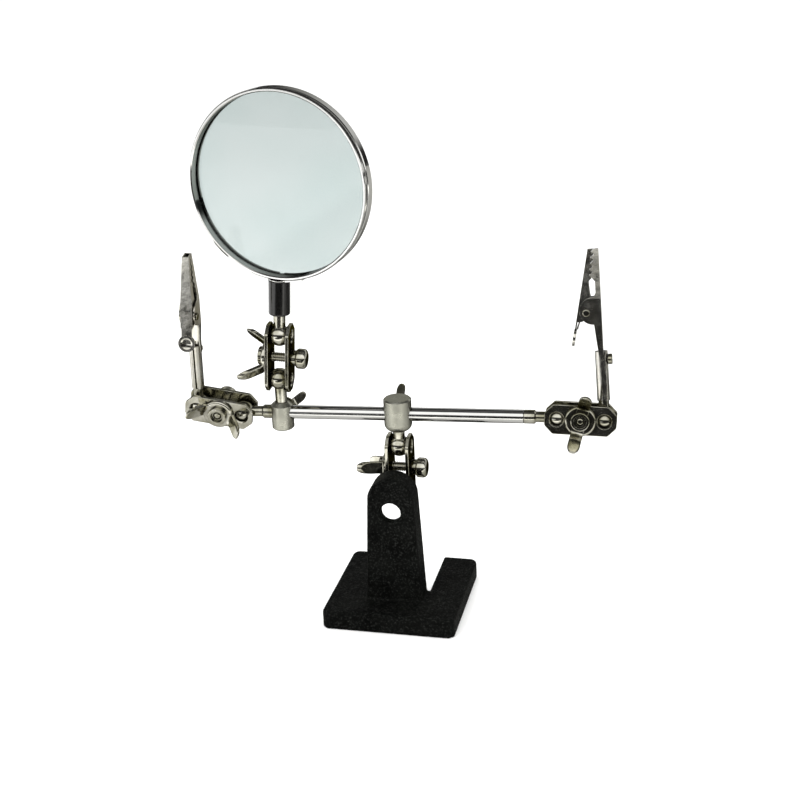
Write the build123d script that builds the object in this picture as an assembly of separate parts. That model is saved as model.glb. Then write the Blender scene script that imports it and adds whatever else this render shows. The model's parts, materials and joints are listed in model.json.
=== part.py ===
from build123d import *
import os
from math import atan, cos, degrees, radians, sin, sqrt

# Helping hands clamp: a weighted stand, a rod on a double-ball link, a magnifier and two
# crocodile clips, each on a double-ball link of its own.
# Millimetres. +Z up, -Y is the front, origin at the bottom centre of the base plate.

# ---- stand ----
BASE_SIDE = 50.0
BASE_THICK = 7.0
BASE_CORNER_R = 3.0
BASE_EDGE_R = 1.2
UPRIGHT_FRONT_Y = -12.5
UPRIGHT_THICK = 10.0
UPRIGHT_FOOT_HALF = 11.0
UPRIGHT_ARCH_R = 8.7
UPRIGHT_ARCH_Z = 47.5
UPRIGHT_WEB = 3.5
UPRIGHT_EDGE_R = 0.9
NOTCH_HALF = 11.5
GROOVE_HALF = 6.0
GROOVE_TOP_Z = 46.9
UPRIGHT_HOLE_R = 3.75
UPRIGHT_HOLE_Z = 43.0

# ---- double-ball links ----
BALL_R = 4.0
SEAT_GAP = 0.05
STEM_R = 2.2
TENON_R = 1.45
TENON_LENGTH = 4.5
TENON_ROOT = 1.0
TENON_END_GAP = 0.3
BALL_SPACING = 17.0
PLATE_LENGTH = 25.8
PLATE_WIDTH = 10.8
PLATE_THICK = 1.3
PLATE_GAP = 6.4
PLATE_CLIP = 3.1
PLATE_SOFT_R = 1.4
PLATE_EDGE_R = 0.25
PLATE_HOLE_R = 2.4
PLATE_HOLE_LIP = 0.4
RUNNING_GAP = 0.05
FITTED_GAP = 0.01
BOLT_R = 1.5
BOLT_HEAD_R = 3.75
BOLT_HEAD_HIGH = 4.0
BOLT_HEAD_SOFT_R = 1.5
BOLT_SEAT_SOFT_R = 0.9
BOLT_PROUD = 0.2
WASHER_R = 2.95
WASHER_THICK = 1.9
WASHER_SPLIT = 0.4
WASHER_SPLIT_ANGLE = 30.0

# ---- wing nuts and wing screws ----
FLANGE_R = 5.6
FLANGE_THICK = 1.5
FLANGE_SOFT_R = 0.9
HUB_R = 3.4
HUB_HIGH = 3.2
HUB_SOFT_R = 0.4
RECESS_R = 2.3
RECESS_DEEP = 1.1
WING_TIP_R = 10.4
WING_REACH = 9.4
WING_WIDTH = 4.5
WING_THICK = 1.6
WING_ROOT_X = 2.0
WING_BEND_X = 5.15
WING_BEND_R = 2.2
WING_SOFT_R = 0.35
SCREW_SCALE = 0.7
SCREW_HEAD_GAP = 0.6

# ---- rod and barrels ----
ROD_R = 2.55
ROD_CHAMFER = 0.5
CENTRE_BARREL_R = 5.15
CENTRE_BARREL_LOW = 6.3
CENTRE_BARREL_HIGH = 6.3
CENTRE_BARREL_ROUND_R = 2.85
BARREL_CHAMFER = 0.5
LEFT_BARREL_R = 4.15
LEFT_BARREL_LOW = 6.4
LEFT_BARREL_HIGH = 4.3
LEFT_SHOULDER_HIGH = 1.5
LEFT_SHOULDER_R = 2.5
LEFT_BARREL_X = -43.7
LEFT_BALL_X = -58.6
RIGHT_BALL_X = 58.4
NECK_LENGTH = 7.6
NECK_R = 2.0
COLLAR_LENGTH = 4.4
COLLAR_SEAM = 0.2
STAND_STEM = 8.4
STAND_TENON = 6.1
BARREL_TENON = 3.0
LEFT_TENON = 1.4

# ---- magnifier ----
RING_R = 34.2
RING_HALF_DEPTH = 3.2
LENS_FRONT_Y = 0.2
LENS_SEEN_R = 32.8
LENS_SEAT_R = 33.3
LENS_EDGE_THICK = 1.4
LENS_BULGE = 2.0
LENS_SETBACK = 0.15
LIP_SOFT = 0.35
BEAD_DEPTH = 2.0
BEAD_FACE_SOFT = 0.5
BEAD_SOFT = 0.3
GROOVE_DEEP = 0.35
GROOVE_WIDE = 0.5
BAND_INSET = 0.1
BAND_SOFT = 0.35
RETAINER_THICK = 1.1
RETAINER_GAP = 2.0
HANDLE_R = 4.0
HANDLE_LOW_Z = 8.2
HANDLE_HIGH_Z = 21.2
HANDLE_LOW_SOFT_R = 0.7
HANDLE_HIGH_SOFT_R = 0.25
SADDLE_HIGH = 0.55
SADDLE_SOFT_R = 0.4
SHOE_HALF = 10.0
SHOE_DEPTH = 4.6
SHOE_EDGE = 0.6
SHOE_TUCK = 0.5
RING_CENTRE_Z = HANDLE_HIGH_Z + SADDLE_HIGH + RING_R
MAGNIFIER_TURN = -11.0
MAGNIFIER_LEAN = 4.2

# ---- crocodile clips, measured along the clip from the centre of its ball ----
SHEET = 0.5
SPINE_X = -0.8
CLIP_TIP_Z = 61.5
PIVOT_X = 4.5
PIVOT_Z = 39.1
EAR_X = 2.0
EAR_R = 4.9
EAR_HALF = 2.85
MOVING_HALF = 2.2
TIP_HALF = 1.25
TAIL_R = 2.3
TAIL_BORE_R = 1.6
TAIL_LOW_Z = 7.2
TAIL_HIGH_Z = 25.0
TAIL_SEAM = 0.7
CHEEK_ROOT_Z = 28.0
CHEEK_ROOT_X = 1.3
CHEEK_LOW_X = 0.6
CHEEK_HIGH_X = 0.9
RIVET_R = 0.8
RIVET_HEAD_R = 1.35
RIVET_HEAD_HIGH = 0.6
RIVET_HEAD_SOFT_R = 0.4
RIVET_PLAY = 0.1
TOOTH_COUNT = 5
TOOTH_PITCH = 2.05
TOOTH_HIGH = 1.1
TOOTH_GAP = 0.2
BITE_TIP_X = 1.1
BITE_SLOPE = 0.127
BACK_TIP_X = 3.0
BACK_SLOPE = 0.207
PAD_R = 3.1
PAD_Z = 30.3
PAD_THICK = 0.9
PAD_DISH_R = 4.9
PAD_DISH_DEEP = 0.5
HEEL_DROP = 3.2
LEVER_HALF = 1.9
CLIP_STEM_R = 1.9
STUD_R = 1.55
STUD_HIGH_Z = 24.2
SCREW_Z = 22.0
TERMINAL_R = 1.1
TERMINAL_HEAD_R = 1.9
TERMINAL_HEAD_HIGH = 1.5
TERMINAL_SEAT_GAP = 0.05
TERMINAL_SLOT_WIDE = 0.5
TERMINAL_SLOT_DEEP = 0.6
TERMINAL_SOFT_R = 0.4
SPRING_WIRE_R = 0.3
SPRING_COIL_R = 1.35
SPRING_PITCH = 0.72
SPRING_TURNS = 3.5
SPRING_REST_GAP = 0.05
SPRING_LEG_STEP = 3.0

# ---- how the assembly stands at rest ----
LINK_Y = 6.0
STAND_BALL_Z = 45.1
ROD_ABOVE_BALL = 12.6
STUD_SLOPE = 32.0
ARM_TURN = 3.6
ARM_TILT = -0.3
MAGNIFIER_BALL_Z = 13.2
LEFT_LINK_RISE = 9.8
LEFT_LINK_ROLL = 8.5
RIGHT_LINK_RISE = -2.0
RIGHT_LINK_ROLL = -12.0
RIGHT_CLIP_LEAN = 3.6
LEFT_CLIP_LEAN = 4.0
LEFT_CLIP_TURN = 90.0
STAND_NUT_TURN = 106.0
MAGNIFIER_NUT_TURN = 48.0
RIGHT_NUT_TURN = 78.0
LEFT_NUT_TURN = -15.0
CENTRE_SCREW_TURN = 88.0
LEFT_SCREW_TURN = -25.0

# ---- sizes that follow from the ones above ----
PLATE_IN = PLATE_GAP / 2
PLATE_OUT = PLATE_IN + PLATE_THICK
BARREL_BALL_Z = STAND_BALL_Z + BALL_SPACING
UPRIGHT_REAR_Y = UPRIGHT_FRONT_Y + UPRIGHT_THICK
LENS_EDGE_Y = LENS_FRONT_Y + LENS_SETBACK
KNEE_Z = PIVOT_Z + EAR_R
TOOTH_LOW_Z = CLIP_TIP_Z - TOOTH_COUNT * TOOTH_PITCH
CHANNEL_LOW_Z = TAIL_HIGH_Z - 3.0
CHANNEL_LOW_HALF = TAIL_R + 0.05
RING_PLACE = Pos(0, 0, RING_CENTRE_Z) * Rot(-90, 0, 0)


# ---- frames: each is the place of one sub-assembly, built in its own plain axes ----
def axes(origin, x_dir, z_dir):
    return Plane(origin=origin, x_dir=x_dir, z_dir=z_dir).location


STUD_FRAME = axes((0, LINK_Y, STAND_BALL_Z), (1, 0, 0),
                  (0, -cos(radians(STUD_SLOPE)), sin(radians(STUD_SLOPE))))
STAND_LINK = axes((0, LINK_Y, STAND_BALL_Z), (0, 0, 1), (-1, 0, 0))
BARREL_BALL = Pos(0, LINK_Y, BARREL_BALL_Z) * Rot(0, 0, ARM_TURN) * Rot(0, ARM_TILT, 0)
ARM = BARREL_BALL * Pos(0, 0, ROD_ABOVE_BALL)
LEFT_BARREL = ARM * Pos(LEFT_BARREL_X, 0, 0)
MAGNIFIER_ARM = LEFT_BARREL * Pos(0, 0, MAGNIFIER_BALL_Z) * Rot(0, MAGNIFIER_LEAN, 0)
MAGNIFIER_LINK = MAGNIFIER_ARM * axes((0, 0, 0), (0, 0, 1), (-1, 0, 0))
MAGNIFIER = MAGNIFIER_ARM * Pos(0, 0, BALL_SPACING) * Rot(0, 0, MAGNIFIER_TURN)
RIGHT_END = ARM * Pos(RIGHT_BALL_X, 0, 0) * Rot(RIGHT_LINK_ROLL, 0, 0)
RIGHT_LINK = RIGHT_END * Rot(0, -RIGHT_LINK_RISE, 0) * axes((0, 0, 0), (1, 0, 0), (0, -1, 0))
RIGHT_OUTER = RIGHT_END * Rot(0, -RIGHT_LINK_RISE, 0) * Pos(BALL_SPACING, 0, 0)
RIGHT_CLIP = RIGHT_OUTER * Rot(0, RIGHT_LINK_RISE - RIGHT_CLIP_LEAN, 0) * Rot(0, 0, 180)
LEFT_END = ARM * Pos(LEFT_BALL_X, 0, 0) * Rot(LEFT_LINK_ROLL, 0, 0)
LEFT_LINK = LEFT_END * Rot(0, LEFT_LINK_RISE, 0) * axes((0, 0, 0), (-1, 0, 0), (0, -1, 0))
LEFT_OUTER = LEFT_END * Rot(0, LEFT_LINK_RISE, 0) * Pos(-BALL_SPACING, 0, 0)
LEFT_CLIP = LEFT_OUTER * Rot(0, LEFT_CLIP_LEAN - LEFT_LINK_RISE, 0) * Rot(0, 0, LEFT_CLIP_TURN - 180)


# ---- small helpers ----
def rod_between(radius, low, high):
    """Round bar along Z from low to high."""
    return Pos(0, 0, (low + high) / 2) * Cylinder(radius, high - low)


def turned(profile):
    """Solid of revolution about Z from an (r, z) outline."""
    return revolve(Plane.XZ * make_face(profile), Axis.Z)


def rim_edges(solid, z):
    """Circular edges of a turned piece at one height."""
    return [e for e in solid.edges().filter_by(GeomType.CIRCLE) if abs(e.center().Z - z) < 1e-3]


# ---- stand ----
def make_base():
    """Cast plate with a rear notch, and the upright at the front end of the notch."""
    plate = extrude(fillet(Rectangle(BASE_SIDE, BASE_SIDE).vertices(), BASE_CORNER_R), BASE_THICK)
    notch_length = BASE_SIDE / 2 - UPRIGHT_REAR_Y
    plate -= Pos(0, UPRIGHT_REAR_Y + notch_length / 2, BASE_THICK / 2) * Box(
        2 * NOTCH_HALF, notch_length, BASE_THICK)
    plate = fillet(plate.edges().group_by(Axis.Z)[-1], BASE_EDGE_R)
    upright = make_face(Polyline(
        (-UPRIGHT_FOOT_HALF, 0), (UPRIGHT_FOOT_HALF, 0), (UPRIGHT_ARCH_R, UPRIGHT_ARCH_Z),
        (-UPRIGHT_ARCH_R, UPRIGHT_ARCH_Z), close=True))
    upright += Pos(0, UPRIGHT_ARCH_Z) * Circle(UPRIGHT_ARCH_R)
    upright = Pos(0, UPRIGHT_REAR_Y, 0) * extrude(Plane.XZ * upright, UPRIGHT_THICK)
    front = upright.faces().sort_by(Axis.Y)[0]
    rear = upright.faces().sort_by(Axis.Y)[-1]
    soft = [e for e in front.edges() + rear.edges() if e.center().Z > BASE_THICK]
    upright = fillet(soft, UPRIGHT_EDGE_R)
    base = plate + upright
    base -= Pos(0, UPRIGHT_FRONT_Y + UPRIGHT_THICK / 2, UPRIGHT_HOLE_Z) * Rot(90, 0, 0) * Cylinder(
        UPRIGHT_HOLE_R, UPRIGHT_THICK)
    groove_deep = UPRIGHT_THICK - UPRIGHT_WEB
    arch_z = GROOVE_TOP_Z - GROOVE_HALF
    groove = Rectangle(2 * GROOVE_HALF, arch_z, align=(Align.CENTER, Align.MIN))
    groove += Pos(0, arch_z) * Circle(GROOVE_HALF)
    base -= Pos(0, UPRIGHT_REAR_Y, 0) * extrude(Plane.XZ * groove, groove_deep)
    return base - STUD_FRAME * rod_between(
        TENON_R + RUNNING_GAP, 0, STAND_STEM + STAND_TENON + RUNNING_GAP)


# ---- link pieces, in link axes: balls at x = 0 and x = BALL_SPACING, plates square to Z ----
def ball_stud(stem_length, tenon_length, stem_r=STEM_R):
    """Ball at the origin, its stem up +Z, and a thinner tenon beyond the stem."""
    piece = Sphere(BALL_R) + rod_between(stem_r, 0, stem_length)
    return piece + rod_between(TENON_R, stem_length - TENON_ROOT, stem_length + tenon_length)


def make_plate():
    """Nut-side plate: clipped corners, and two holes that seat the balls."""
    outline = chamfer(Rectangle(PLATE_LENGTH, PLATE_WIDTH).vertices(), PLATE_CLIP)
    outline = fillet(outline.vertices(), PLATE_SOFT_R)
    plate = extrude(outline, PLATE_THICK)
    rims = plate.edges().group_by(Axis.Z)
    plate = fillet(rims[-1] + rims[0], PLATE_EDGE_R)
    plate = Pos(BALL_SPACING / 2, 0, PLATE_IN) * plate
    for x in (0, BALL_SPACING):
        plate -= Pos(x, 0, 0) * rod_between(PLATE_HOLE_R, PLATE_IN, PLATE_OUT)
        plate -= Pos(x, 0, PLATE_OUT - PLATE_HOLE_LIP / 2) * Cone(
            PLATE_HOLE_R, PLATE_HOLE_R + PLATE_HOLE_LIP, PLATE_HOLE_LIP)
        plate -= Pos(x, 0, 0) * Sphere(BALL_R + SEAT_GAP)
    return plate - Pos(BALL_SPACING / 2, 0, 0) * rod_between(BOLT_R + RUNNING_GAP, PLATE_IN, PLATE_OUT)


def make_bolt():
    """Clamp bolt: its head stands on the washer, its domed end shows in the wing nut."""
    head_z = -PLATE_OUT - WASHER_THICK
    end_z = PLATE_OUT + HUB_HIGH - RECESS_DEEP + BOLT_PROUD
    head = rod_between(BOLT_HEAD_R, head_z - BOLT_HEAD_HIGH, head_z)
    head = fillet(rim_edges(head, head_z - BOLT_HEAD_HIGH), BOLT_HEAD_SOFT_R)
    head = fillet(rim_edges(head, head_z), BOLT_SEAT_SOFT_R)
    shank = rod_between(BOLT_R, head_z, end_z)
    shank = fillet(rim_edges(shank, end_z), BOLT_SEAT_SOFT_R)
    return Pos(BALL_SPACING / 2, 0, 0) * (head + shank)


def make_washer():
    """Split lock washer between the head-side plate and the bolt head."""
    low = -PLATE_OUT - WASHER_THICK
    ring = rod_between(WASHER_R, low, -PLATE_OUT)
    ring -= rod_between(BOLT_R + RUNNING_GAP, low, -PLATE_OUT)
    split = Rot(WASHER_SPLIT_ANGLE, 0, 0) * Box(WASHER_R, WASHER_SPLIT, 3 * WASHER_THICK)
    split = Pos((WASHER_R + BOLT_R) / 2, 0, low + WASHER_THICK / 2) * split
    return Pos(BALL_SPACING / 2, 0, 0) * (ring - split)


def wing_head(hub_r, size=1.0):
    """Pressed wing head, standing on z = 0 with its two wings flaring to -X and +X."""
    flange = rod_between(FLANGE_R * size, 0, FLANGE_THICK * size)
    flange = fillet(rim_edges(flange, FLANGE_THICK * size), FLANGE_SOFT_R * size)
    head = flange + rod_between(hub_r, 0, HUB_HIGH * size)
    head = fillet(rim_edges(head, HUB_HIGH * size), HUB_SOFT_R)
    foot_z = WING_THICK * size / 2
    bend_x = WING_BEND_X * size
    tip_x = WING_TIP_R * size
    tip_z = WING_REACH * size
    path = FilletPolyline(
        (WING_ROOT_X, foot_z), (bend_x, foot_z), (tip_x, tip_z), radius=WING_BEND_R * size)
    strip = Plane.XZ * trace(path, line_width=WING_THICK * size)
    blade = extrude(strip, WING_WIDTH * size / 2, both=True)
    blade = blade & extrude(SlotOverall(2 * tip_x, WING_WIDTH * size), tip_z * 2)
    long_edges = [e for e in blade.edges() if e.center().X > bend_x]
    blade = fillet(long_edges, WING_SOFT_R * size)
    return head + blade + Rot(0, 0, 180) * blade


def make_wing_nut(turn):
    """Wing nut on the bolt, standing on the nut-side plate."""
    nut = wing_head(HUB_R)
    nut -= rod_between(RECESS_R, HUB_HIGH - RECESS_DEEP, 2 * HUB_HIGH)
    nut -= rod_between(BOLT_R + RUNNING_GAP, 0, HUB_HIGH)
    return Pos(BALL_SPACING / 2, 0, PLATE_OUT) * Rot(0, 0, turn) * nut


# ---- rod and barrels, in arm axes: rod along X through the origin ----
def make_rod():
    """Plain round bar with a threaded hole in each end for a ball end."""
    low = LEFT_BALL_X + NECK_LENGTH + COLLAR_LENGTH
    high = RIGHT_BALL_X - NECK_LENGTH - COLLAR_LENGTH
    hole = TENON_LENGTH + TENON_END_GAP
    bar = rod_between(ROD_R, low, high)
    bar = chamfer(rim_edges(bar, low) + rim_edges(bar, high), COLLAR_SEAM)
    bar -= rod_between(TENON_R + RUNNING_GAP, low, low + hole)
    bar -= rod_between(TENON_R + RUNNING_GAP, high - hole, high)
    return Rot(0, 90, 0) * bar


def make_ball_end():
    """Ball on a thin neck, then a collar as thick as the rod and the tenon that screws into it."""
    seam_z = NECK_LENGTH + COLLAR_LENGTH
    collar = rod_between(ROD_R, NECK_LENGTH, seam_z)
    collar = chamfer(rim_edges(collar, NECK_LENGTH), ROD_CHAMFER)
    collar = chamfer(rim_edges(collar, seam_z), COLLAR_SEAM)
    return collar + ball_stud(seam_z - TENON_ROOT, TENON_LENGTH + TENON_ROOT, NECK_R)


def bored_barrel(body, radius):
    """Barrel with the rod hole across it and the clamp screw's hole at the back."""
    body -= Rot(0, 90, 0) * Cylinder(ROD_R + RUNNING_GAP, 4 * radius)
    return body - Rot(-90, 0, 0) * rod_between(BOLT_R + RUNNING_GAP, 0, 2 * radius)


def make_centre_barrel():
    """Flat-topped barrel, its bottom rounded in towards the ball's stem."""
    low = -CENTRE_BARREL_LOW
    high = CENTRE_BARREL_HIGH
    body = rod_between(CENTRE_BARREL_R, low, high)
    body = fillet(rim_edges(body, low), CENTRE_BARREL_ROUND_R)
    body = chamfer(rim_edges(body, high), BARREL_CHAMFER)
    body = bored_barrel(body, CENTRE_BARREL_R)
    return body - rod_between(TENON_R + RUNNING_GAP, low, low + BARREL_TENON + TENON_END_GAP)


def make_left_barrel():
    """Flat-bottomed barrel, its shoulder rising to the neck of the magnifier's ball."""
    low = -LEFT_BARREL_LOW
    high = LEFT_BARREL_HIGH
    shoulder_z = high - LEFT_SHOULDER_HIGH
    body = rod_between(LEFT_BARREL_R, low, shoulder_z)
    body = chamfer(rim_edges(body, low), BARREL_CHAMFER)
    body += Pos(0, 0, (shoulder_z + high) / 2) * Cone(LEFT_BARREL_R, LEFT_SHOULDER_R, LEFT_SHOULDER_HIGH)
    body = bored_barrel(body, LEFT_BARREL_R)
    return body - rod_between(TENON_R + RUNNING_GAP, high - LEFT_TENON - SEAT_GAP, high)


def make_clamp_screw(radius, turn):
    """Wing screw behind a barrel, its point bearing on the rod."""
    seat = radius + SCREW_HEAD_GAP
    screw = Pos(0, 0, seat) * Rot(0, 0, turn) * wing_head(HUB_R * SCREW_SCALE, SCREW_SCALE)
    screw += rod_between(BOLT_R, ROD_R + FITTED_GAP, seat)
    return Rot(-90, 0, 0) * screw


# ---- magnifier, in magnifier axes: ball at the origin, handle up +Z, lens facing -Y ----
def make_ring_frame():
    """Pressed ring: front lip, rolled bead, groove and plain outer band."""
    front = -RING_HALF_DEPTH
    bead_end = front + BEAD_DEPTH
    groove_end = bead_end + GROOVE_WIDE
    rear = RING_HALF_DEPTH
    outline = Polyline(
        (LENS_SEEN_R, front + LIP_SOFT), (LENS_SEEN_R + LIP_SOFT, front),
        (RING_R - BEAD_FACE_SOFT, front), (RING_R - BEAD_SOFT, front + BEAD_SOFT),
        (RING_R, front + BEAD_DEPTH / 2), (RING_R - BEAD_SOFT, bead_end - BEAD_SOFT),
        (RING_R - GROOVE_DEEP, bead_end), (RING_R - GROOVE_DEEP, groove_end),
        (RING_R - BAND_INSET, groove_end + BAND_SOFT), (RING_R - BAND_INSET, rear - BAND_SOFT),
        (RING_R - BAND_SOFT, rear), (LENS_SEAT_R, rear),
        (LENS_SEAT_R, LENS_FRONT_Y), (LENS_SEEN_R, LENS_FRONT_Y), close=True)
    return RING_PLACE * turned(outline)


def lens_balls():
    """Centres, along the lens axis, and radius of the two spheres that make the lens faces."""
    bow = (LENS_SEAT_R ** 2 + LENS_BULGE ** 2) / (2 * LENS_BULGE)
    return LENS_EDGE_Y - LENS_BULGE + bow, LENS_EDGE_Y + LENS_EDGE_THICK + LENS_BULGE - bow, bow


def make_lens():
    """Biconvex lens held behind the front lip."""
    front, rear, bow = lens_balls()
    ball = Rot(90, 0, 0) * Sphere(bow)
    lens = rod_between(LENS_SEAT_R - RUNNING_GAP, -3 * LENS_BULGE, 3 * LENS_BULGE)
    return RING_PLACE * (lens & Pos(0, 0, front) * ball & Pos(0, 0, rear) * ball)


def make_retaining_ring():
    """Split spring ring behind the lens."""
    rear_centre, bow = lens_balls()[1:]
    low = LENS_EDGE_Y + LENS_EDGE_THICK + FITTED_GAP
    ring = rod_between(LENS_SEAT_R - FITTED_GAP, low, low + RETAINER_THICK)
    ring -= rod_between(LENS_SEEN_R, low, low + RETAINER_THICK)
    ring -= Pos(0, 0, rear_centre + FITTED_GAP) * Sphere(bow)
    gap = Box(RETAINER_GAP, 4 * (LENS_SEAT_R - LENS_SEEN_R), 2 * RETAINER_THICK)
    return RING_PLACE * (ring - Pos(0, LENS_SEEN_R, low + RETAINER_THICK / 2) * gap)


def make_saddle():
    """Round foot that flares into a shoe hollowed to the ring, with a shank below for the sleeve."""
    low = HANDLE_HIGH_Z
    shoe_z = RING_CENTRE_Z - sqrt(RING_R ** 2 - SHOE_HALF ** 2)
    foot_x = HANDLE_R - SHOE_TUCK
    body = rod_between(HANDLE_R, low, low + SADDLE_HIGH + TENON_ROOT)
    body = fillet(rim_edges(body, low), SADDLE_SOFT_R)
    side = make_face(Polyline(
        (foot_x, low), (SHOE_HALF, shoe_z - SHOE_EDGE), (SHOE_HALF, RING_CENTRE_Z),
        (-SHOE_HALF, RING_CENTRE_Z), (-SHOE_HALF, shoe_z - SHOE_EDGE), (-foot_x, low), close=True))
    body += extrude(Plane.XZ * side, SHOE_DEPTH / 2, both=True)
    body += rod_between(TENON_R, low - TENON_LENGTH, low + TENON_ROOT)
    return body - RING_PLACE * Cylinder(RING_R + FITTED_GAP, 8 * RING_HALF_DEPTH)


def make_handle():
    """Black sleeve that joins the saddle to the ball stud."""
    hole = TENON_LENGTH + TENON_END_GAP
    sleeve = rod_between(HANDLE_R, HANDLE_LOW_Z, HANDLE_HIGH_Z)
    sleeve = fillet(rim_edges(sleeve, HANDLE_LOW_Z), HANDLE_LOW_SOFT_R)
    sleeve = fillet(rim_edges(sleeve, HANDLE_HIGH_Z), HANDLE_HIGH_SOFT_R)
    sleeve -= rod_between(TENON_R + RUNNING_GAP, HANDLE_LOW_Z, HANDLE_LOW_Z + hole)
    return sleeve - rod_between(TENON_R + FITTED_GAP, HANDLE_HIGH_Z - hole, HANDLE_HIGH_Z)


# ---- crocodile clip, in clip axes: ball at the origin, clip up +Z, moving jaw on the +X side ----
def back_x(z):
    """Outer face of the moving jaw's back, which is straight from tip to lever."""
    return BACK_TIP_X + (CLIP_TIP_Z - z) * BACK_SLOPE


def toothed_edge(shift):
    """Zigzag where the jaws meet, from the tip down; both jaws use it, one of them shifted."""
    points = []
    for step in range(2 * TOOTH_COUNT + 1):
        z = CLIP_TIP_Z - step * TOOTH_PITCH / 2
        half = TOOTH_HIGH / 2 if step % 2 else -TOOTH_HIGH / 2
        points.append((BITE_TIP_X + (CLIP_TIP_Z - z) * BITE_SLOPE + half + shift, z))
    return points


def side_prism(points, half):
    """Side outline (x, z) made as wide as the jaw."""
    return extrude(Plane.XZ * make_face(Polyline(*points, close=True)), half, both=True)


def width_prism(stations):
    """Everything between -y and +y of a width that changes along z, from (z, half) stations."""
    right = [(half, z) for z, half in stations]
    left = [(-half, z) for z, half in reversed(stations)]
    return extrude(Plane.YZ * make_face(Polyline(*right, *left, close=True)), 2 * PIVOT_Z, both=True)


def jaw_widths(body_half, low_half, inset=0.0):
    """Half-widths of a jaw along z: narrow tail, full width at the ears, narrow tip."""
    return width_prism([
        (CHANNEL_LOW_Z - inset, low_half - inset), (CHEEK_ROOT_Z, low_half - inset),
        (PIVOT_Z - EAR_R, body_half - inset), (KNEE_Z, body_half - inset),
        (CLIP_TIP_Z + inset, TIP_HALF - inset)])


def rivet_hole(gap):
    return Pos(PIVOT_X, 0, PIVOT_Z) * Rot(90, 0, 0) * Cylinder(RIVET_R + gap, 4 * EAR_HALF)


def make_fixed_jaw():
    """Folded sheet: toothed channel, round ears at the pivot, and a rolled tail tube."""
    outline = [(SPINE_X, CHANNEL_LOW_Z), (CHEEK_LOW_X, CHANNEL_LOW_Z), (CHEEK_ROOT_X, CHEEK_ROOT_Z),
               (EAR_X, PIVOT_Z - EAR_R + 1), (EAR_X, KNEE_Z), (CHEEK_HIGH_X, KNEE_Z + 2),
               (CHEEK_HIGH_X, TOOTH_LOW_Z - 1.2)]
    outline += reversed(toothed_edge(0))
    outline += [(SPINE_X, CLIP_TIP_Z)]
    ear = Pos(EAR_X, 0, PIVOT_Z + 0.6) * Rot(90, 0, 0) * Cylinder(EAR_R, 2 * EAR_HALF)
    ear -= Pos(SPINE_X - EAR_R, 0, PIVOT_Z) * Box(2 * EAR_R, 4 * EAR_R, 4 * EAR_R)
    jaw = side_prism(outline, EAR_HALF) + ear
    jaw = jaw & jaw_widths(EAR_HALF, CHANNEL_LOW_HALF)
    room = Pos(SPINE_X + SHEET, 0, CHANNEL_LOW_Z - SHEET) * Box(
        30, 30, 60, align=(Align.MIN, Align.CENTER, Align.MIN))
    jaw -= room & jaw_widths(EAR_HALF, CHANNEL_LOW_HALF, SHEET)
    jaw += rod_between(TAIL_R, TAIL_LOW_Z, TAIL_HIGH_Z)
    jaw -= rod_between(TAIL_BORE_R, TAIL_LOW_Z, TAIL_HIGH_Z)
    jaw -= Pos(TAIL_R, 0, (TAIL_LOW_Z + TAIL_HIGH_Z) / 2) * Box(
        2 * TAIL_R, TAIL_SEAM, TAIL_HIGH_Z - TAIL_LOW_Z)
    jaw -= rivet_hole(FITTED_GAP)
    screw_hole = Rot(0, -90, 0) * rod_between(TERMINAL_R + FITTED_GAP, 0, 2 * TAIL_R)
    return jaw - Pos(0, 0, SCREW_Z) * screw_hole


def make_moving_jaw():
    """Folded sheet: toothed channel inside the ears, and a lever with a dished thumb pad."""
    heel_z = PIVOT_Z - HEEL_DROP
    outline = toothed_edge(TOOTH_GAP)
    outline += [(3.2, TOOTH_LOW_Z - 1.2), (3.0, KNEE_Z + 2.5), (PIVOT_X - 2.2, PIVOT_Z + 2.5),
                (PIVOT_X - 2.0, PIVOT_Z - 1.2), (back_x(heel_z) - 2.2, heel_z), (back_x(heel_z), heel_z),
                (back_x(CLIP_TIP_Z), CLIP_TIP_Z)]
    jaw = side_prism(outline, MOVING_HALF) & jaw_widths(MOVING_HALF, MOVING_HALF)
    inside = [(-20, CLIP_TIP_Z + 5), (back_x(CLIP_TIP_Z + 5) - SHEET, CLIP_TIP_Z + 5),
              (back_x(0) - SHEET, 0), (-20, 0)]
    jaw -= side_prism(inside, 2 * EAR_HALF) & jaw_widths(MOVING_HALF, MOVING_HALF, SHEET)
    jaw -= rivet_hole(RUNNING_GAP)
    lever_low = [(back_x(PAD_Z) - SHEET, PAD_Z), (back_x(heel_z + 1) - SHEET, heel_z + 1),
                 (back_x(heel_z + 1), heel_z + 1), (back_x(PAD_Z), PAD_Z)]
    jaw += side_prism(lever_low, LEVER_HALF)
    tilt = 90 - degrees(atan(BACK_SLOPE))
    dish = Pos(0, 0, PAD_THICK / 2 + PAD_DISH_R - PAD_DISH_DEEP) * Sphere(PAD_DISH_R)
    pad = Cylinder(PAD_R, PAD_THICK) - dish
    return jaw + Pos(back_x(PAD_Z) - SHEET / 2, 0, PAD_Z) * Rot(0, tilt, 0) * pad


def make_rivet():
    """Pivot rivet through the ears, with a domed head on each side."""
    rivet = rod_between(RIVET_R, -EAR_HALF - RIVET_PLAY, EAR_HALF + RIVET_PLAY)
    for side in (-1, 1):
        head = Pos(0, 0, side * (EAR_HALF + RIVET_HEAD_HIGH / 2)) * Cylinder(RIVET_HEAD_R, RIVET_HEAD_HIGH)
        rivet += fillet(rim_edges(head, side * (EAR_HALF + RIVET_HEAD_HIGH)), RIVET_HEAD_SOFT_R)
    return Pos(PIVOT_X, 0, PIVOT_Z) * Rot(90, 0, 0) * rivet


def wire_leg(start, end):
    """Straight round wire from start to end."""
    section = Plane(origin=start, z_dir=Vector(*end) - Vector(*start)) * Circle(SPRING_WIRE_R)
    return sweep(section, path=Line(start, end))


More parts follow.
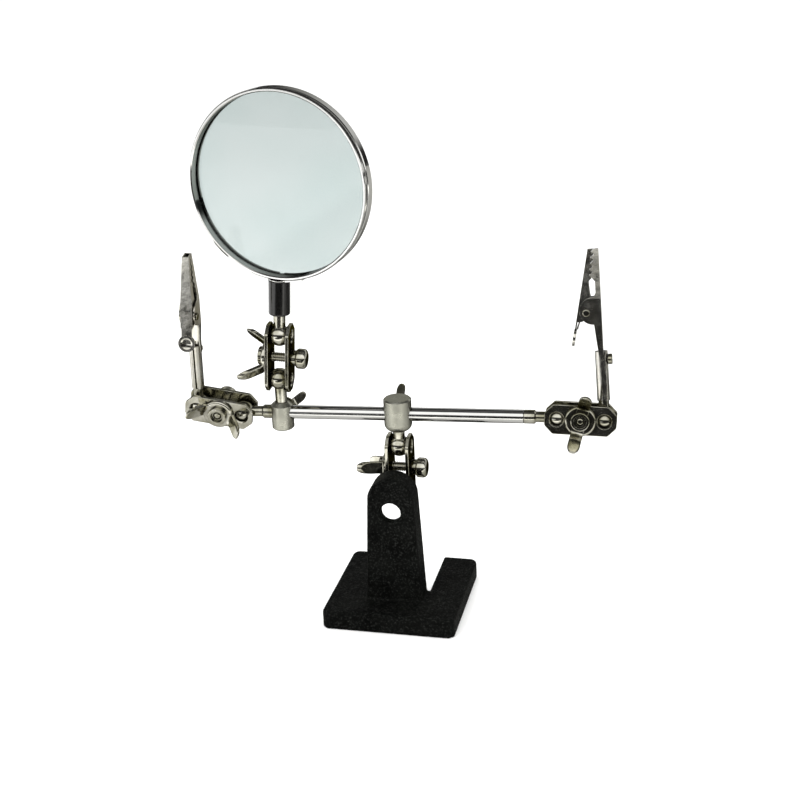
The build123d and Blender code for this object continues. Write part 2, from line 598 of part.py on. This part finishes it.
def make_torsion_spring():
    """Coil on the rivet; one leg lies along the spine, the other along the lever."""
    length = SPRING_PITCH * SPRING_TURNS
    helix = Helix(SPRING_PITCH, length, SPRING_COIL_R)
    coil = sweep(Plane(origin=helix @ 0, z_dir=helix % 0) * Circle(SPRING_WIRE_R), path=helix)
    coil = Pos(PIVOT_X, length / 2, PIVOT_Z) * Rot(90, 0, 0) * coil
    clear = SHEET + SPRING_WIRE_R + SPRING_REST_GAP
    lever_z = PAD_Z + SPRING_LEG_STEP
    lever_end = (back_x(lever_z) - clear, length / 2, lever_z)
    spine_end = (SPINE_X + clear, -length / 2, PAD_Z)
    for side, end in ((1, lever_end), (-1, spine_end)):
        start = (PIVOT_X + side * SPRING_COIL_R, side * length / 2, PIVOT_Z)
        coil += wire_leg(start, end)
        coil += Pos(*start) * Sphere(SPRING_WIRE_R)
    return coil


def make_terminal_screw():
    """Slotted screw through the tail, bearing on the ball stud."""
    seat = TAIL_R + TERMINAL_SEAT_GAP
    screw = rod_between(TERMINAL_R, STUD_R + FITTED_GAP, seat)
    head = rod_between(TERMINAL_HEAD_R, seat, seat + TERMINAL_HEAD_HIGH)
    head = fillet(rim_edges(head, seat + TERMINAL_HEAD_HIGH), TERMINAL_SOFT_R)
    head -= Pos(0, 0, seat + TERMINAL_HEAD_HIGH) * Box(
        TERMINAL_SLOT_WIDE, 3 * TERMINAL_HEAD_R, 2 * TERMINAL_SLOT_DEEP)
    return Pos(0, 0, SCREW_Z) * Rot(0, -90, 0) * (screw + head)


def make_clip_stud():
    """Ball and stem of the clip, its long tenon inside the clip's tail."""
    stud = Sphere(BALL_R) + rod_between(CLIP_STEM_R, 0, TAIL_LOW_Z)
    return stud + rod_between(STUD_R, TAIL_LOW_Z - TENON_ROOT, STUD_HIGH_Z)


# ---- every piece, placed at rest ----
def link_pieces(name, place, nut_turn):
    plate = make_plate()
    return {
        name + "_nut_plate": place * plate,
        name + "_head_plate": place * Rot(180, 0, 0) * plate,
        name + "_bolt": place * make_bolt(),
        name + "_washer": place * make_washer(),
        name + "_wing_nut": place * make_wing_nut(nut_turn),
    }


def clip_pieces(name, place):
    return {
        name + "_ball_stud": place * make_clip_stud(),
        name + "_fixed_jaw": place * make_fixed_jaw(),
        name + "_moving_jaw": place * make_moving_jaw(),
        name + "_rivet": place * make_rivet(),
        name + "_spring": place * make_torsion_spring(),
        name + "_terminal_screw": place * make_terminal_screw(),
    }


def all_pieces():
    flip = Rot(180, 0, 0)
    pieces = {
        "base": make_base(),
        "stand_ball_stud": STUD_FRAME * ball_stud(STAND_STEM, STAND_TENON),
        "centre_ball_stud": BARREL_BALL * ball_stud(
            ROD_ABOVE_BALL - CENTRE_BARREL_LOW, BARREL_TENON),
        "centre_barrel": ARM * make_centre_barrel(),
        "centre_clamp_screw": ARM * make_clamp_screw(CENTRE_BARREL_R, CENTRE_SCREW_TURN),
        "rod": ARM * make_rod(),
        "right_ball_end": ARM * Pos(RIGHT_BALL_X, 0, 0) * Rot(0, -90, 0) * make_ball_end(),
        "left_ball_end": ARM * Pos(LEFT_BALL_X, 0, 0) * Rot(0, 90, 0) * make_ball_end(),
        "left_barrel": LEFT_BARREL * make_left_barrel(),
        "left_clamp_screw": LEFT_BARREL * make_clamp_screw(LEFT_BARREL_R, LEFT_SCREW_TURN),
        "left_ball_stud": LEFT_BARREL * Pos(0, 0, MAGNIFIER_BALL_Z) * flip * ball_stud(
            MAGNIFIER_BALL_Z - LEFT_BARREL_HIGH, LEFT_TENON),
        "magnifier_ball_stud": MAGNIFIER * ball_stud(HANDLE_LOW_Z, TENON_LENGTH),
        "magnifier_handle": MAGNIFIER * make_handle(),
        "magnifier_saddle": MAGNIFIER * make_saddle(),
        "magnifier_ring": MAGNIFIER * make_ring_frame(),
        "magnifier_lens": MAGNIFIER * make_lens(),
        "magnifier_retaining_ring": MAGNIFIER * make_retaining_ring(),
    }
    pieces.update(link_pieces("stand_link", STAND_LINK, STAND_NUT_TURN))
    pieces.update(link_pieces("magnifier_link", MAGNIFIER_LINK, MAGNIFIER_NUT_TURN))
    pieces.update(link_pieces("right_link", RIGHT_LINK, RIGHT_NUT_TURN))
    pieces.update(link_pieces("left_link", LEFT_LINK, LEFT_NUT_TURN))
    pieces.update(clip_pieces("right_clip", RIGHT_CLIP))
    pieces.update(clip_pieces("left_clip", LEFT_CLIP))
    return pieces


if __name__ == "__main__":
    os.makedirs("parts", exist_ok=True)
    for node, piece in all_pieces().items():
        export_step(piece, f"parts/{node}.step")
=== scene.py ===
import json
import math

import bpy
from mathutils import Matrix, Vector


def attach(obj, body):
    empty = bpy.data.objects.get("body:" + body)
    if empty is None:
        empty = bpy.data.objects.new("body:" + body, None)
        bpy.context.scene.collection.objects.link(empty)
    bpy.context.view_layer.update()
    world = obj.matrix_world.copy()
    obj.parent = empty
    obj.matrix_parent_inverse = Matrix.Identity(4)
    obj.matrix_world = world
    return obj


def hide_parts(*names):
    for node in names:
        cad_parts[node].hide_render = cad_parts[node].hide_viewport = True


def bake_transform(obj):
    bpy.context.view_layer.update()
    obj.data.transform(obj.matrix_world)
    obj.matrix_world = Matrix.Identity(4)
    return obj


# Looks for the helping hands clamp. Metres, in the same frame as the CAD: +Z up, -Y is the front.
MM = 0.001

# ---- camera ----
CAMERA_AZIMUTH = 13.9
CAMERA_ELEVATION = 21.6
CAMERA_ROLL = -2.45
CAMERA_DISTANCE = 0.5225
CAMERA_LENS = 65.0
CAMERA_TARGET = Vector((0.00245, 0.0, 0.0827))

# ---- floor, world and lights ----
FLOOR_RADIUS = 6.0
FLOOR_SIDES = 64
FLOOR_DROP = 0.15 * MM
FLOOR_COLOR = (0.93, 0.93, 0.925)
FLOOR_MOTTLE = 0.99
FLOOR_MOTTLE_SCALE = 3
WORLD_FILL = 1.12
WORLD_COLOR = (1.0, 1.0, 0.995)

# What polished pieces mirror, as pairs of place and level. The floor goes by depth and by side, in
# metres; the room goes by height above the front horizon, in degrees.
FLOOR_WARMTH = (1.0, 0.99, 0.94)
ROOM_WARMTH = (1.0, 0.995, 0.97)
FLOOR_TONES = ((-0.40, 0.02), (-0.215, 0.03), (-0.190, 0.95), (-0.130, 0.90),
               (-0.105, 0.38), (-0.012, 0.34), (0.04, 0.28), (0.10, 0.08), (0.25, 0.06),
               (0.31, 0.50), (0.80, 0.50))
SIDE_TONES = ((-0.60, 0.85), (-0.27, 0.85), (-0.22, 0.0), (0.60, 0.0))
ROOM_TONES = ((-180, 0.03), (-90, 0.20), (0, 0.02), (17, 0.03), (22, 1.0), (60, 1.1),
              (70, 0.05), (84, 0.03), (96, 0.10), (112, 0.02), (136, 0.02), (146, 0.60),
              (164, 0.55), (172, 0.02), (180, 0.02))

LIGHT_AIM = (0.0, 0.0, 0.09)

# ---- plated steel ----
# Size of the colour mottle, which is partly random tint and partly painted reflection.
TINT_AND_REFLECTION_MOTTLE_SCALE = 160
SMEAR_SCALE = 420
DENT_SCALE = 70
RIPPLE_SCALE = 330
SCRATCH_SCALE = 2600
SCRATCH_STRETCH = (1.0, 1.0, 0.12)
PIT_SCALE = 9000
DENT_TO_RIPPLE = 6
PIT_TO_SCRATCH = 0.4
# How far the painted shade in corners reaches.
CORNER_SHADE_REACH = 1.6 * MM
EDGE_SOFT = 0.16 * MM
# Painted shade along outlines: where the dark rim starts and ends as a surface turns away, and how dark
# it gets.
RIM_SHADE_START = 0.60
RIM_SHADE_END = 0.90
RIM_SHADE_DEPTH = 0.85
SATIN_RIM_SHADE_DEPTH = 0.45

# ---- base coat ----
PAINT_VOXEL = 0.42 * MM
PAINT_GRAIN = 0.9 * MM
PAINT_HEIGHT = 0.11 * MM
PAINT_GRAIN_SCALE = 1500
PAINT_GRAIN_BUMP = 0.22 * MM
PAINT_PORE_SCALE = 5200
PAINT_PORE_BUMP = 0.05 * MM
PAINT_CLOUD_SCALE = 90
PAINT_GLOSS = 0.04

# ---- handle sleeve ----
SLEEVE_STREAK_SCALE = 1400
SLEEVE_STREAK_STRETCH = (1.0, 1.0, 0.03)
SLEEVE_STREAK_BUMP = 0.012 * MM
SLEEVE_SMEAR_SCALE = 600
SLEEVE_WAVE_SCALE = 900
SLEEVE_WAVE_BUMP = 0.006 * MM
SLEEVE_COAT = 0.25

# ---- lens ----
LENS_IOR = 1.45
LENS_SHEEN = 0.08
LENS_SHEEN_COLOR = (0.9, 0.95, 0.95, 1.0)
LENS_CLOUD_SCALE = 26
LENS_SMUDGE_SCALE = 240

# ---- bolt threads ----
THREAD_ROOT = 1.45 * MM
THREAD_CREST = 1.82 * MM
THREAD_PITCH = 0.8 * MM
THREAD_LENGTH = 6.2 * MM
THREAD_STEPS = 40
THREAD_TAPER = 8
THREAD_ROOT_HALF = 0.46 * THREAD_PITCH
THREAD_CREST_HALF = 0.06 * THREAD_PITCH


# ---- node helpers ----
def add(tree, kind, inputs=None, **settings):
    """New shader node, with its input values and its own settings."""
    node = tree.nodes.new(kind)
    for key, value in settings.items():
        setattr(node, key, value)
    for key, value in (inputs or {}).items():
        node.inputs[key].default_value = value
    return node


def new_material(name):
    """New node material, as (material, its node tree, its main shader)."""
    material = bpy.data.materials.new(name)
    material.use_nodes = True
    tree = material.node_tree
    return material, tree, tree.nodes["Principled BSDF"]


def noise(tree, scale, detail=3.0, rough=0.55, stretch=(1.0, 1.0, 1.0)):
    """Noise in object space; scale is in features per metre."""
    coords = add(tree, "ShaderNodeTexCoord")
    mapping = add(tree, "ShaderNodeMapping", {"Scale": stretch})
    tree.links.new(coords.outputs["Object"], mapping.inputs["Vector"])
    texture = add(tree, "ShaderNodeTexNoise", {"Scale": scale, "Detail": detail, "Roughness": rough})
    tree.links.new(mapping.outputs["Vector"], texture.inputs["Vector"])
    return texture.outputs["Fac"]


def spread(tree, value, low, high, to_low, to_high):
    """Remaps a value from one range to another, clamped."""
    node = add(tree, "ShaderNodeMapRange", {
        "From Min": low, "From Max": high, "To Min": to_low, "To Max": to_high})
    tree.links.new(value, node.inputs["Value"])
    return node.outputs["Result"]


def mixed(tree, factor, first, second):
    """Blend of two colours, or of a colour and another node's output."""
    node = add(tree, "ShaderNodeMix", data_type="RGBA")
    tree.links.new(factor, node.inputs["Factor"])
    for socket, colour in ((node.inputs[6], first), (node.inputs[7], second)):
        if hasattr(colour, "is_output"):
            tree.links.new(colour, socket)
        else:
            socket.default_value = (*colour, 1.0)
    return node.outputs[2]


def bumped(tree, shader, layers, edge=0.0):
    """Chain of bump nodes from (height, distance, strength) layers, over edges softened by edge."""
    normal = None
    if edge:
        normal = add(tree, "ShaderNodeBevel", {"Radius": edge}, samples=4).outputs["Normal"]
    for height, distance, strength in layers:
        bump = add(tree, "ShaderNodeBump", {"Distance": distance, "Strength": strength})
        tree.links.new(height, bump.inputs["Height"])
        if normal is not None:
            tree.links.new(normal, bump.inputs["Normal"])
        normal = bump.outputs["Normal"]
    tree.links.new(normal, shader.inputs["Normal"])


def corner_shade_mask(tree, reach, low, high):
    """Mask for painted shade: 0 in tight corners and 1 on open faces."""
    occlusion = add(tree, "ShaderNodeAmbientOcclusion", {"Distance": reach}, samples=6)
    return spread(tree, occlusion.outputs["AO"], low, high, 0.0, 1.0)


# ---- materials ----
def plated(name, bright, shade, painted_shade_tone, rough, ripple, scratch, rim=RIM_SHADE_DEPTH):
    """Plated steel: colour mottle, partly random tint and partly painted reflection; painted shade in
    corners and along outlines; uneven polish, fine scratches and a ripple.
    """
    material, tree, shader = new_material(name)
    # Colour mottle between a lit and a darker tone: partly random tint, and on bright nickel a painted
    # reflection.
    tint_and_reflection_mottle = spread(tree, noise(tree, TINT_AND_REFLECTION_MOTTLE_SCALE, 4), 0.35, 0.65, 0.0, 1.0)
    colour = mixed(tree, tint_and_reflection_mottle, bright, shade)
    # Painted shade: the near-black tone is painted into tight corners and between parts.
    colour = mixed(tree, corner_shade_mask(tree, CORNER_SHADE_REACH, 0.25, 0.85), painted_shade_tone, colour)
    # Painted shade: the colour is darkened towards the near-black tone where the surface turns away from
    # the camera.
    outline_facing = add(tree, "ShaderNodeLayerWeight", {"Blend": 0.5}).outputs["Facing"]
    colour = mixed(tree, spread(tree, outline_facing, RIM_SHADE_START, RIM_SHADE_END, 0.0, rim), colour, painted_shade_tone)
    tree.links.new(colour, shader.inputs["Base Color"])
    shader.inputs["Metallic"].default_value = 1.0
    shader.inputs["Specular Tint"].default_value = (*(c * 0.5 for c in shade), 1.0)
    smear = spread(tree, noise(tree, SMEAR_SCALE, 5, 0.6), 0.3, 0.7, rough[0], rough[1])
    tree.links.new(smear, shader.inputs["Roughness"])
    bumped(tree, shader, [
        (noise(tree, DENT_SCALE, 1), DENT_TO_RIPPLE * ripple, 0.5),
        (noise(tree, RIPPLE_SCALE, 2), ripple, 0.5),
        (noise(tree, SCRATCH_SCALE, 3, 0.6, SCRATCH_STRETCH), scratch, 0.5),
        (noise(tree, PIT_SCALE, 2), PIT_TO_SCRATCH * scratch, 0.4)], EDGE_SOFT)
    return material


# In each finish below, the third colour is a near-black painted shade for corners and outlines.
def bright_nickel():
    # Its second colour, far darker than the first, paints in mottled reflections.
    return plated("bright_nickel", (0.72, 0.705, 0.63), (0.30, 0.29, 0.21), (0.035, 0.032, 0.02),
                  (0.05, 0.20), 0.05 * MM, 0.004 * MM)


def satin_nickel():
    return plated("satin_nickel", (0.52, 0.52, 0.455), (0.45, 0.45, 0.39), (0.14, 0.13, 0.11),
                  (0.24, 0.36), 0.02 * MM, 0.006 * MM, SATIN_RIM_SHADE_DEPTH)


def chrome_rod():
    return plated("chrome_rod", (0.86, 0.86, 0.86), (0.80, 0.80, 0.79), (0.12, 0.12, 0.11),
                  (0.03, 0.10), 0.006 * MM, 0.003 * MM)


def magnifier_chrome():
    return plated("magnifier_chrome", (0.86, 0.86, 0.85), (0.78, 0.78, 0.76), (0.10, 0.10, 0.09),
                  (0.04, 0.13), 0.02 * MM, 0.003 * MM)


def pressed_steel():
    return plated("pressed_steel", (0.76, 0.75, 0.70), (0.62, 0.60, 0.53), (0.08, 0.07, 0.05),
                  (0.08, 0.24), 0.06 * MM, 0.006 * MM)


def spring_steel():
    return plated("spring_steel", (0.62, 0.61, 0.58), (0.50, 0.49, 0.46), (0.06, 0.06, 0.05),
                  (0.15, 0.30), 0.01 * MM, 0.004 * MM)


def wrinkle_paint():
    """Black wrinkle paint over a casting: fine crinkles, lighter high spots of the grain, a little gloss.
    """
    material, tree, shader = new_material("black_wrinkle_paint")
    grain = noise(tree, PAINT_GRAIN_SCALE, 5, 0.65)
    cloud = spread(tree, noise(tree, PAINT_CLOUD_SCALE, 4), 0.35, 0.7, 0.0, 1.0)
    coat = mixed(tree, cloud, (0.0008, 0.0009, 0.0008), (0.0036, 0.0040, 0.0034))
    # Colour lighter on the high spots of the grain.
    crest_tone = spread(tree, grain, 0.52, 0.68, 0.0, 0.8)
    colour = mixed(tree, crest_tone, coat, (0.023, 0.024, 0.022))
    tree.links.new(colour, shader.inputs["Base Color"])
    tree.links.new(spread(tree, grain, 0.3, 0.7, 0.62, 0.46), shader.inputs["Roughness"])
    shader.inputs["Specular IOR Level"].default_value = PAINT_GLOSS
    bumped(tree, shader, [
        (grain, PAINT_GRAIN_BUMP, 0.8),
        (noise(tree, PAINT_PORE_SCALE, 3), PAINT_PORE_BUMP, 0.6)])
    return material


def black_sleeve():
    """Gloss black sleeve with faint drawing lines along its length."""
    material, tree, shader = new_material("black_sleeve")
    streaks = noise(tree, SLEEVE_STREAK_SCALE, 3, 0.5, SLEEVE_STREAK_STRETCH)
    tone = spread(tree, streaks, 0.4, 0.7, 0.0, 1.0)
    colour = mixed(tree, tone, (0.0015, 0.0015, 0.0015), (0.007, 0.007, 0.007))
    tree.links.new(colour, shader.inputs["Base Color"])
    smear = spread(tree, noise(tree, SLEEVE_SMEAR_SCALE, 4), 0.3, 0.7, 0.12, 0.22)
    tree.links.new(smear, shader.inputs["Roughness"])
    shader.inputs["Coat Weight"].default_value = SLEEVE_COAT
    bumped(tree, shader, [
        (streaks, SLEEVE_STREAK_BUMP, 0.4),
        (noise(tree, SLEEVE_WAVE_SCALE, 2), SLEEVE_WAVE_BUMP, 0.4)])
    return material


def lens_glass():
    """Pale green-grey glass that lets the lamps through, with a faint mirror sheen."""
    material, tree, shader = new_material("lens_glass")
    tree.nodes.remove(shader)
    output = tree.nodes["Material Output"]
    cloud = spread(tree, noise(tree, LENS_CLOUD_SCALE, 2), 0.35, 0.65, 0.0, 1.0)
    tint = mixed(tree, cloud, (0.690, 0.738, 0.733), (0.722, 0.757, 0.754))
    clear = add(tree, "ShaderNodeBsdfTransparent")
    tree.links.new(tint, clear.inputs["Color"])
    sheen = add(tree, "ShaderNodeBsdfGlossy", {"Color": LENS_SHEEN_COLOR})
    smudge = spread(tree, noise(tree, LENS_SMUDGE_SCALE, 5, 0.6), 0.45, 0.75, 0.02, 0.09)
    tree.links.new(smudge, sheen.inputs["Roughness"])
    edge = add(tree, "ShaderNodeFresnel", {"IOR": LENS_IOR})
    sheen_part = spread(tree, edge.outputs["Fac"], 0.0, LENS_SHEEN, 0.0, LENS_SHEEN)
    mix = add(tree, "ShaderNodeMixShader")
    tree.links.new(sheen_part, mix.inputs["Fac"])
    tree.links.new(clear.outputs["BSDF"], mix.inputs[1])
    tree.links.new(sheen.outputs["BSDF"], mix.inputs[2])
    tree.links.new(mix.outputs["Shader"], output.inputs["Surface"])
    return material


MAKERS = {
    "black_wrinkle_paint": wrinkle_paint,
    "bright_nickel": bright_nickel,
    "satin_nickel": satin_nickel,
    "chrome_rod": chrome_rod,
    "magnifier_chrome": magnifier_chrome,
    "pressed_steel": pressed_steel,
    "spring_steel": spring_steel,
    "black_sleeve": black_sleeve,
    "lens_glass": lens_glass,
}


def dress(frame):
    """Gives every CAD node the finish of its material slot."""
    finishes = {slot: maker() for slot, maker in MAKERS.items()}
    for part in frame["record"]["subparts"]:
        mesh = frame["nodes"][part["node"]].data
        mesh.materials.clear()
        mesh.materials.append(finishes[part["material_slot"]])
    return finishes


# ---- base ----
def crinkle_base(frame):
    """Turns the flat faces of the base into a wrinkled coat, with real relief."""
    base = frame["nodes"]["base"]
    remesh = base.modifiers.new("coat", "REMESH")
    remesh.mode = "VOXEL"
    remesh.voxel_size = PAINT_VOXEL
    remesh.use_smooth_shade = True
    soften = base.modifiers.new("soften", "SMOOTH")
    soften.factor = 0.5
    soften.iterations = 2
    grain = bpy.data.textures.new("wrinkle", "CLOUDS")
    grain.noise_scale = PAINT_GRAIN
    grain.noise_depth = 3
    grain.noise_basis = "VORONOI_CRACKLE"
    relief = base.modifiers.new("wrinkle", "DISPLACE")
    relief.texture = grain
    relief.texture_coords = "LOCAL"
    relief.strength = PAINT_HEIGHT
    relief.mid_level = 1.0


# ---- bolt threads ----
def middle(node):
    """Mean place of a CAD node's vertices."""
    total = Vector()
    for vertex in node.data.vertices:
        total += node.matrix_world @ vertex.co
    return total / len(node.data.vertices)


def thread_mesh(name):
    """Ridge with a triangular section wound up +Z, tapered out at both ends."""
    turns = THREAD_LENGTH / THREAD_PITCH
    count = int(turns * THREAD_STEPS)
    verts = []
    for i in range(count + 1):
        part = i / count
        angle = 2 * math.pi * turns * part
        height = THREAD_LENGTH * (part - 0.5)
        swell = min(1.0, THREAD_TAPER * part, THREAD_TAPER * (1 - part))
        crest = THREAD_ROOT + (THREAD_CREST - THREAD_ROOT) * swell
        section = ((THREAD_ROOT, -THREAD_ROOT_HALF), (crest, -THREAD_CREST_HALF),
                   (crest, THREAD_CREST_HALF), (THREAD_ROOT, THREAD_ROOT_HALF))
        for radius, lift in section:
            verts.append((radius * math.cos(angle), radius * math.sin(angle), height + lift))
    faces = []
    for i in range(count):
        near = 4 * i
        far = near + 4
        faces += [(near + k, near + (k + 1) % 4, far + (k + 1) % 4, far + k) for k in range(4)]
    faces += [(3, 2, 1, 0), tuple(4 * count + k for k in range(4))]
    mesh = bpy.data.meshes.new(name)
    mesh.from_pydata(verts, [], faces)
    return mesh


def thread_bolts(frame, finish):
    """Raised thread on the bare middle of each link's bolt, which carries it."""
    for link in ("stand_link", "magnifier_link", "right_link", "left_link"):
        nut_side = middle(frame["nodes"][link + "_nut_plate"])
        head_side = middle(frame["nodes"][link + "_head_plate"])
        mesh = thread_mesh(link + "_thread")
        turn = (nut_side - head_side).to_track_quat("Z", "Y").to_matrix().to_4x4()
        mesh.transform(Matrix.Translation((nut_side + head_side) / 2) @ turn)
        mesh.materials.append(finish)
        thread = bpy.data.objects.new(link + "_thread", mesh)
        bpy.context.scene.collection.objects.link(thread)
        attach(thread, link)


# ---- clip springs ----
def flex_spring(frame, clip):
    """Rigid copy of the clip's spring, shown in place of the CAD spring; its coil and the directions
    along and across the clip are found but not used.
    """
    nodes = frame["nodes"]
    rigid = nodes[clip + "_spring"]
    mesh = rigid.data.copy()
    mesh.transform(rigid.matrix_world)
    spring = bpy.data.objects.new(clip + "_flexing_spring", mesh)
    bpy.context.scene.collection.objects.link(spring)
    coil = middle(nodes[clip + "_rivet"])
    along = (coil - middle(nodes[clip + "_ball_stud"])).normalized()
    across = middle(nodes[clip + "_moving_jaw"]) - middle(nodes[clip + "_fixed_jaw"])
    across = (across - across.dot(along) * along).normalized()
    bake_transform(spring)
    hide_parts(clip + "_spring")


# ---- floor, world, lights and camera ----
def ramp_of(tree, value, tones, warmth=(1.0, 1.0, 1.0)):
    """Grey levels along a value, from (place, level) pairs; the first and last places are its ends."""
    ramp = add(tree, "ShaderNodeValToRGB")
    low, high = tones[0][0], tones[-1][0]
    elements = ramp.color_ramp.elements
    while len(elements) < len(tones):
        elements.new(0.5)
    for element, (place, level) in zip(elements, tones):
        element.position = (place - low) / (high - low)
        element.color = (*(level * c for c in warmth), 1.0)
    tree.links.new(spread(tree, value, low, high, 0.0, 1.0), ramp.inputs["Fac"])
    return ramp.outputs["Color"]


def make_floor():
    """Pale sheet, even to the eye; in mirrors its brightness goes by depth and by side."""
    turns = [2 * math.pi * i / FLOOR_SIDES for i in range(FLOOR_SIDES)]
    corners = [(FLOOR_RADIUS * math.cos(turn), FLOOR_RADIUS * math.sin(turn), -FLOOR_DROP)
               for turn in turns]
    mesh = bpy.data.meshes.new("floor")
    mesh.from_pydata(corners, [], [tuple(range(FLOOR_SIDES))])
    floor = bpy.data.objects.new("floor", mesh)
    bpy.context.scene.collection.objects.link(floor)
    material, tree, shader = new_material("floor")
    mottle = noise(tree, FLOOR_MOTTLE_SCALE, 3)
    tone = mixed(tree, mottle, FLOOR_COLOR, tuple(c * FLOOR_MOTTLE for c in FLOOR_COLOR))
    coords = add(tree, "ShaderNodeTexCoord")
    split = add(tree, "ShaderNodeSeparateXYZ")
    tree.links.new(coords.outputs["Object"], split.inputs["Vector"])
    seen = add(tree, "ShaderNodeMix", data_type="RGBA", blend_type="LIGHTEN")
    seen.inputs["Factor"].default_value = 1.0
    tree.links.new(ramp_of(tree, split.outputs["Y"], FLOOR_TONES, FLOOR_WARMTH), seen.inputs[6])
    tree.links.new(ramp_of(tree, split.outputs["X"], SIDE_TONES), seen.inputs[7])
    path = add(tree, "ShaderNodeLightPath")
    tone = mixed(tree, path.outputs["Is Glossy Ray"], tone, seen.outputs[2])
    tree.links.new(tone, shader.inputs["Base Color"])
    shader.inputs["Roughness"].default_value = 0.9
    shader.inputs["Specular IOR Level"].default_value = 0.0
    mesh.materials.append(material)


def make_world():
    """Even white fill; in mirrors, a dark room with a soft box high in front and a fainter one behind."""
    world = bpy.data.worlds.new("studio")
    bpy.context.scene.world = world
    world.use_nodes = True
    tree = world.node_tree
    background = tree.nodes["Background"]
    coords = add(tree, "ShaderNodeTexCoord")
    split = add(tree, "ShaderNodeSeparateXYZ")
    tree.links.new(coords.outputs["Generated"], split.inputs["Vector"])
    ahead = add(tree, "ShaderNodeMath", operation="MULTIPLY")
    tree.links.new(split.outputs["Y"], ahead.inputs[0])
    ahead.inputs[1].default_value = -1.0
    angle = add(tree, "ShaderNodeMath", operation="ARCTAN2")
    tree.links.new(split.outputs["Z"], angle.inputs[0])
    tree.links.new(ahead.outputs["Value"], angle.inputs[1])
    degrees = add(tree, "ShaderNodeMath", operation="DEGREES")
    tree.links.new(angle.outputs["Value"], degrees.inputs[0])
    room = ramp_of(tree, degrees.outputs["Value"], ROOM_TONES, ROOM_WARMTH)
    path = add(tree, "ShaderNodeLightPath")
    colour = mixed(tree, path.outputs["Is Glossy Ray"], WORLD_COLOR, room)
    tree.links.new(colour, background.inputs["Color"])
    background.inputs["Strength"].default_value = WORLD_FILL


def area_light(name, place, width, height, power):
    """Soft white lamp aimed at the middle of the object, not seen itself."""
    data = bpy.data.lights.new(name, "AREA")
    data.shape = "RECTANGLE"
    data.size = width
    data.size_y = height
    data.energy = power
    lamp = bpy.data.objects.new(name, data)
    lamp.location = place
    lamp.rotation_mode = "QUATERNION"
    lamp.rotation_quaternion = (Vector(LIGHT_AIM) - Vector(place)).to_track_quat("-Z", "Y")
    lamp.visible_camera = False
    lamp.visible_glossy = False
    bpy.context.scene.collection.objects.link(lamp)


def make_lights():
    area_light("key", place=(-0.55, -0.45, 0.75), width=0.5, height=0.5, power=5.0)
    area_light("fill", place=(0.75, -0.35, 0.35), width=0.25, height=0.6, power=1.6)
    area_light("top", place=(0.05, 0.15, 0.9), width=0.7, height=0.35, power=3.0)


def make_camera():
    """Camera at the set angles round the target, rolled a little about its own line of sight."""
    azimuth = math.radians(CAMERA_AZIMUTH)
    elevation = math.radians(CAMERA_ELEVATION)
    back = Vector((math.sin(azimuth) * math.cos(elevation), -math.cos(azimuth) * math.cos(elevation),
                   math.sin(elevation)))
    data = bpy.data.cameras.new("camera")
    data.lens = CAMERA_LENS
    data.sensor_width = 36.0
    data.clip_start = 0.01
    data.clip_end = 50.0
    camera = bpy.data.objects.new("camera", data)
    camera.rotation_mode = "QUATERNION"
    level = (-back).to_track_quat("-Z", "Y")
    roll = Matrix.Rotation(math.radians(CAMERA_ROLL), 4, "Z").to_quaternion()
    camera.rotation_quaternion = level @ roll
    camera.location = CAMERA_TARGET + back * CAMERA_DISTANCE
    bpy.context.scene.collection.objects.link(camera)
    bpy.context.scene.camera = camera


def set_look():
    """Plain display transform, so that white paper reads as white."""
    view = bpy.context.scene.view_settings
    view.view_transform = "Standard"
    view.look = "None"
    view.exposure = 0.0


with open("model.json") as file:
    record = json.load(file)
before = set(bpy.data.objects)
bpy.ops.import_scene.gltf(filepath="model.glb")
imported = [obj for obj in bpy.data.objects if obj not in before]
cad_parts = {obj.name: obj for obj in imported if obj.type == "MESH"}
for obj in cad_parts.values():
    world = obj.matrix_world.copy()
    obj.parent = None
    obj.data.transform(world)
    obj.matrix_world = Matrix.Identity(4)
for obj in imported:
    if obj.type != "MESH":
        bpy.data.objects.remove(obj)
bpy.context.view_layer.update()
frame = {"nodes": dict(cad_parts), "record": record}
finishes = dress(frame)
crinkle_base(frame)
thread_bolts(frame, finishes["pressed_steel"])
flex_spring(frame, "right_clip")
flex_spring(frame, "left_clip")
make_floor()
make_world()
make_lights()
make_camera()
set_look()
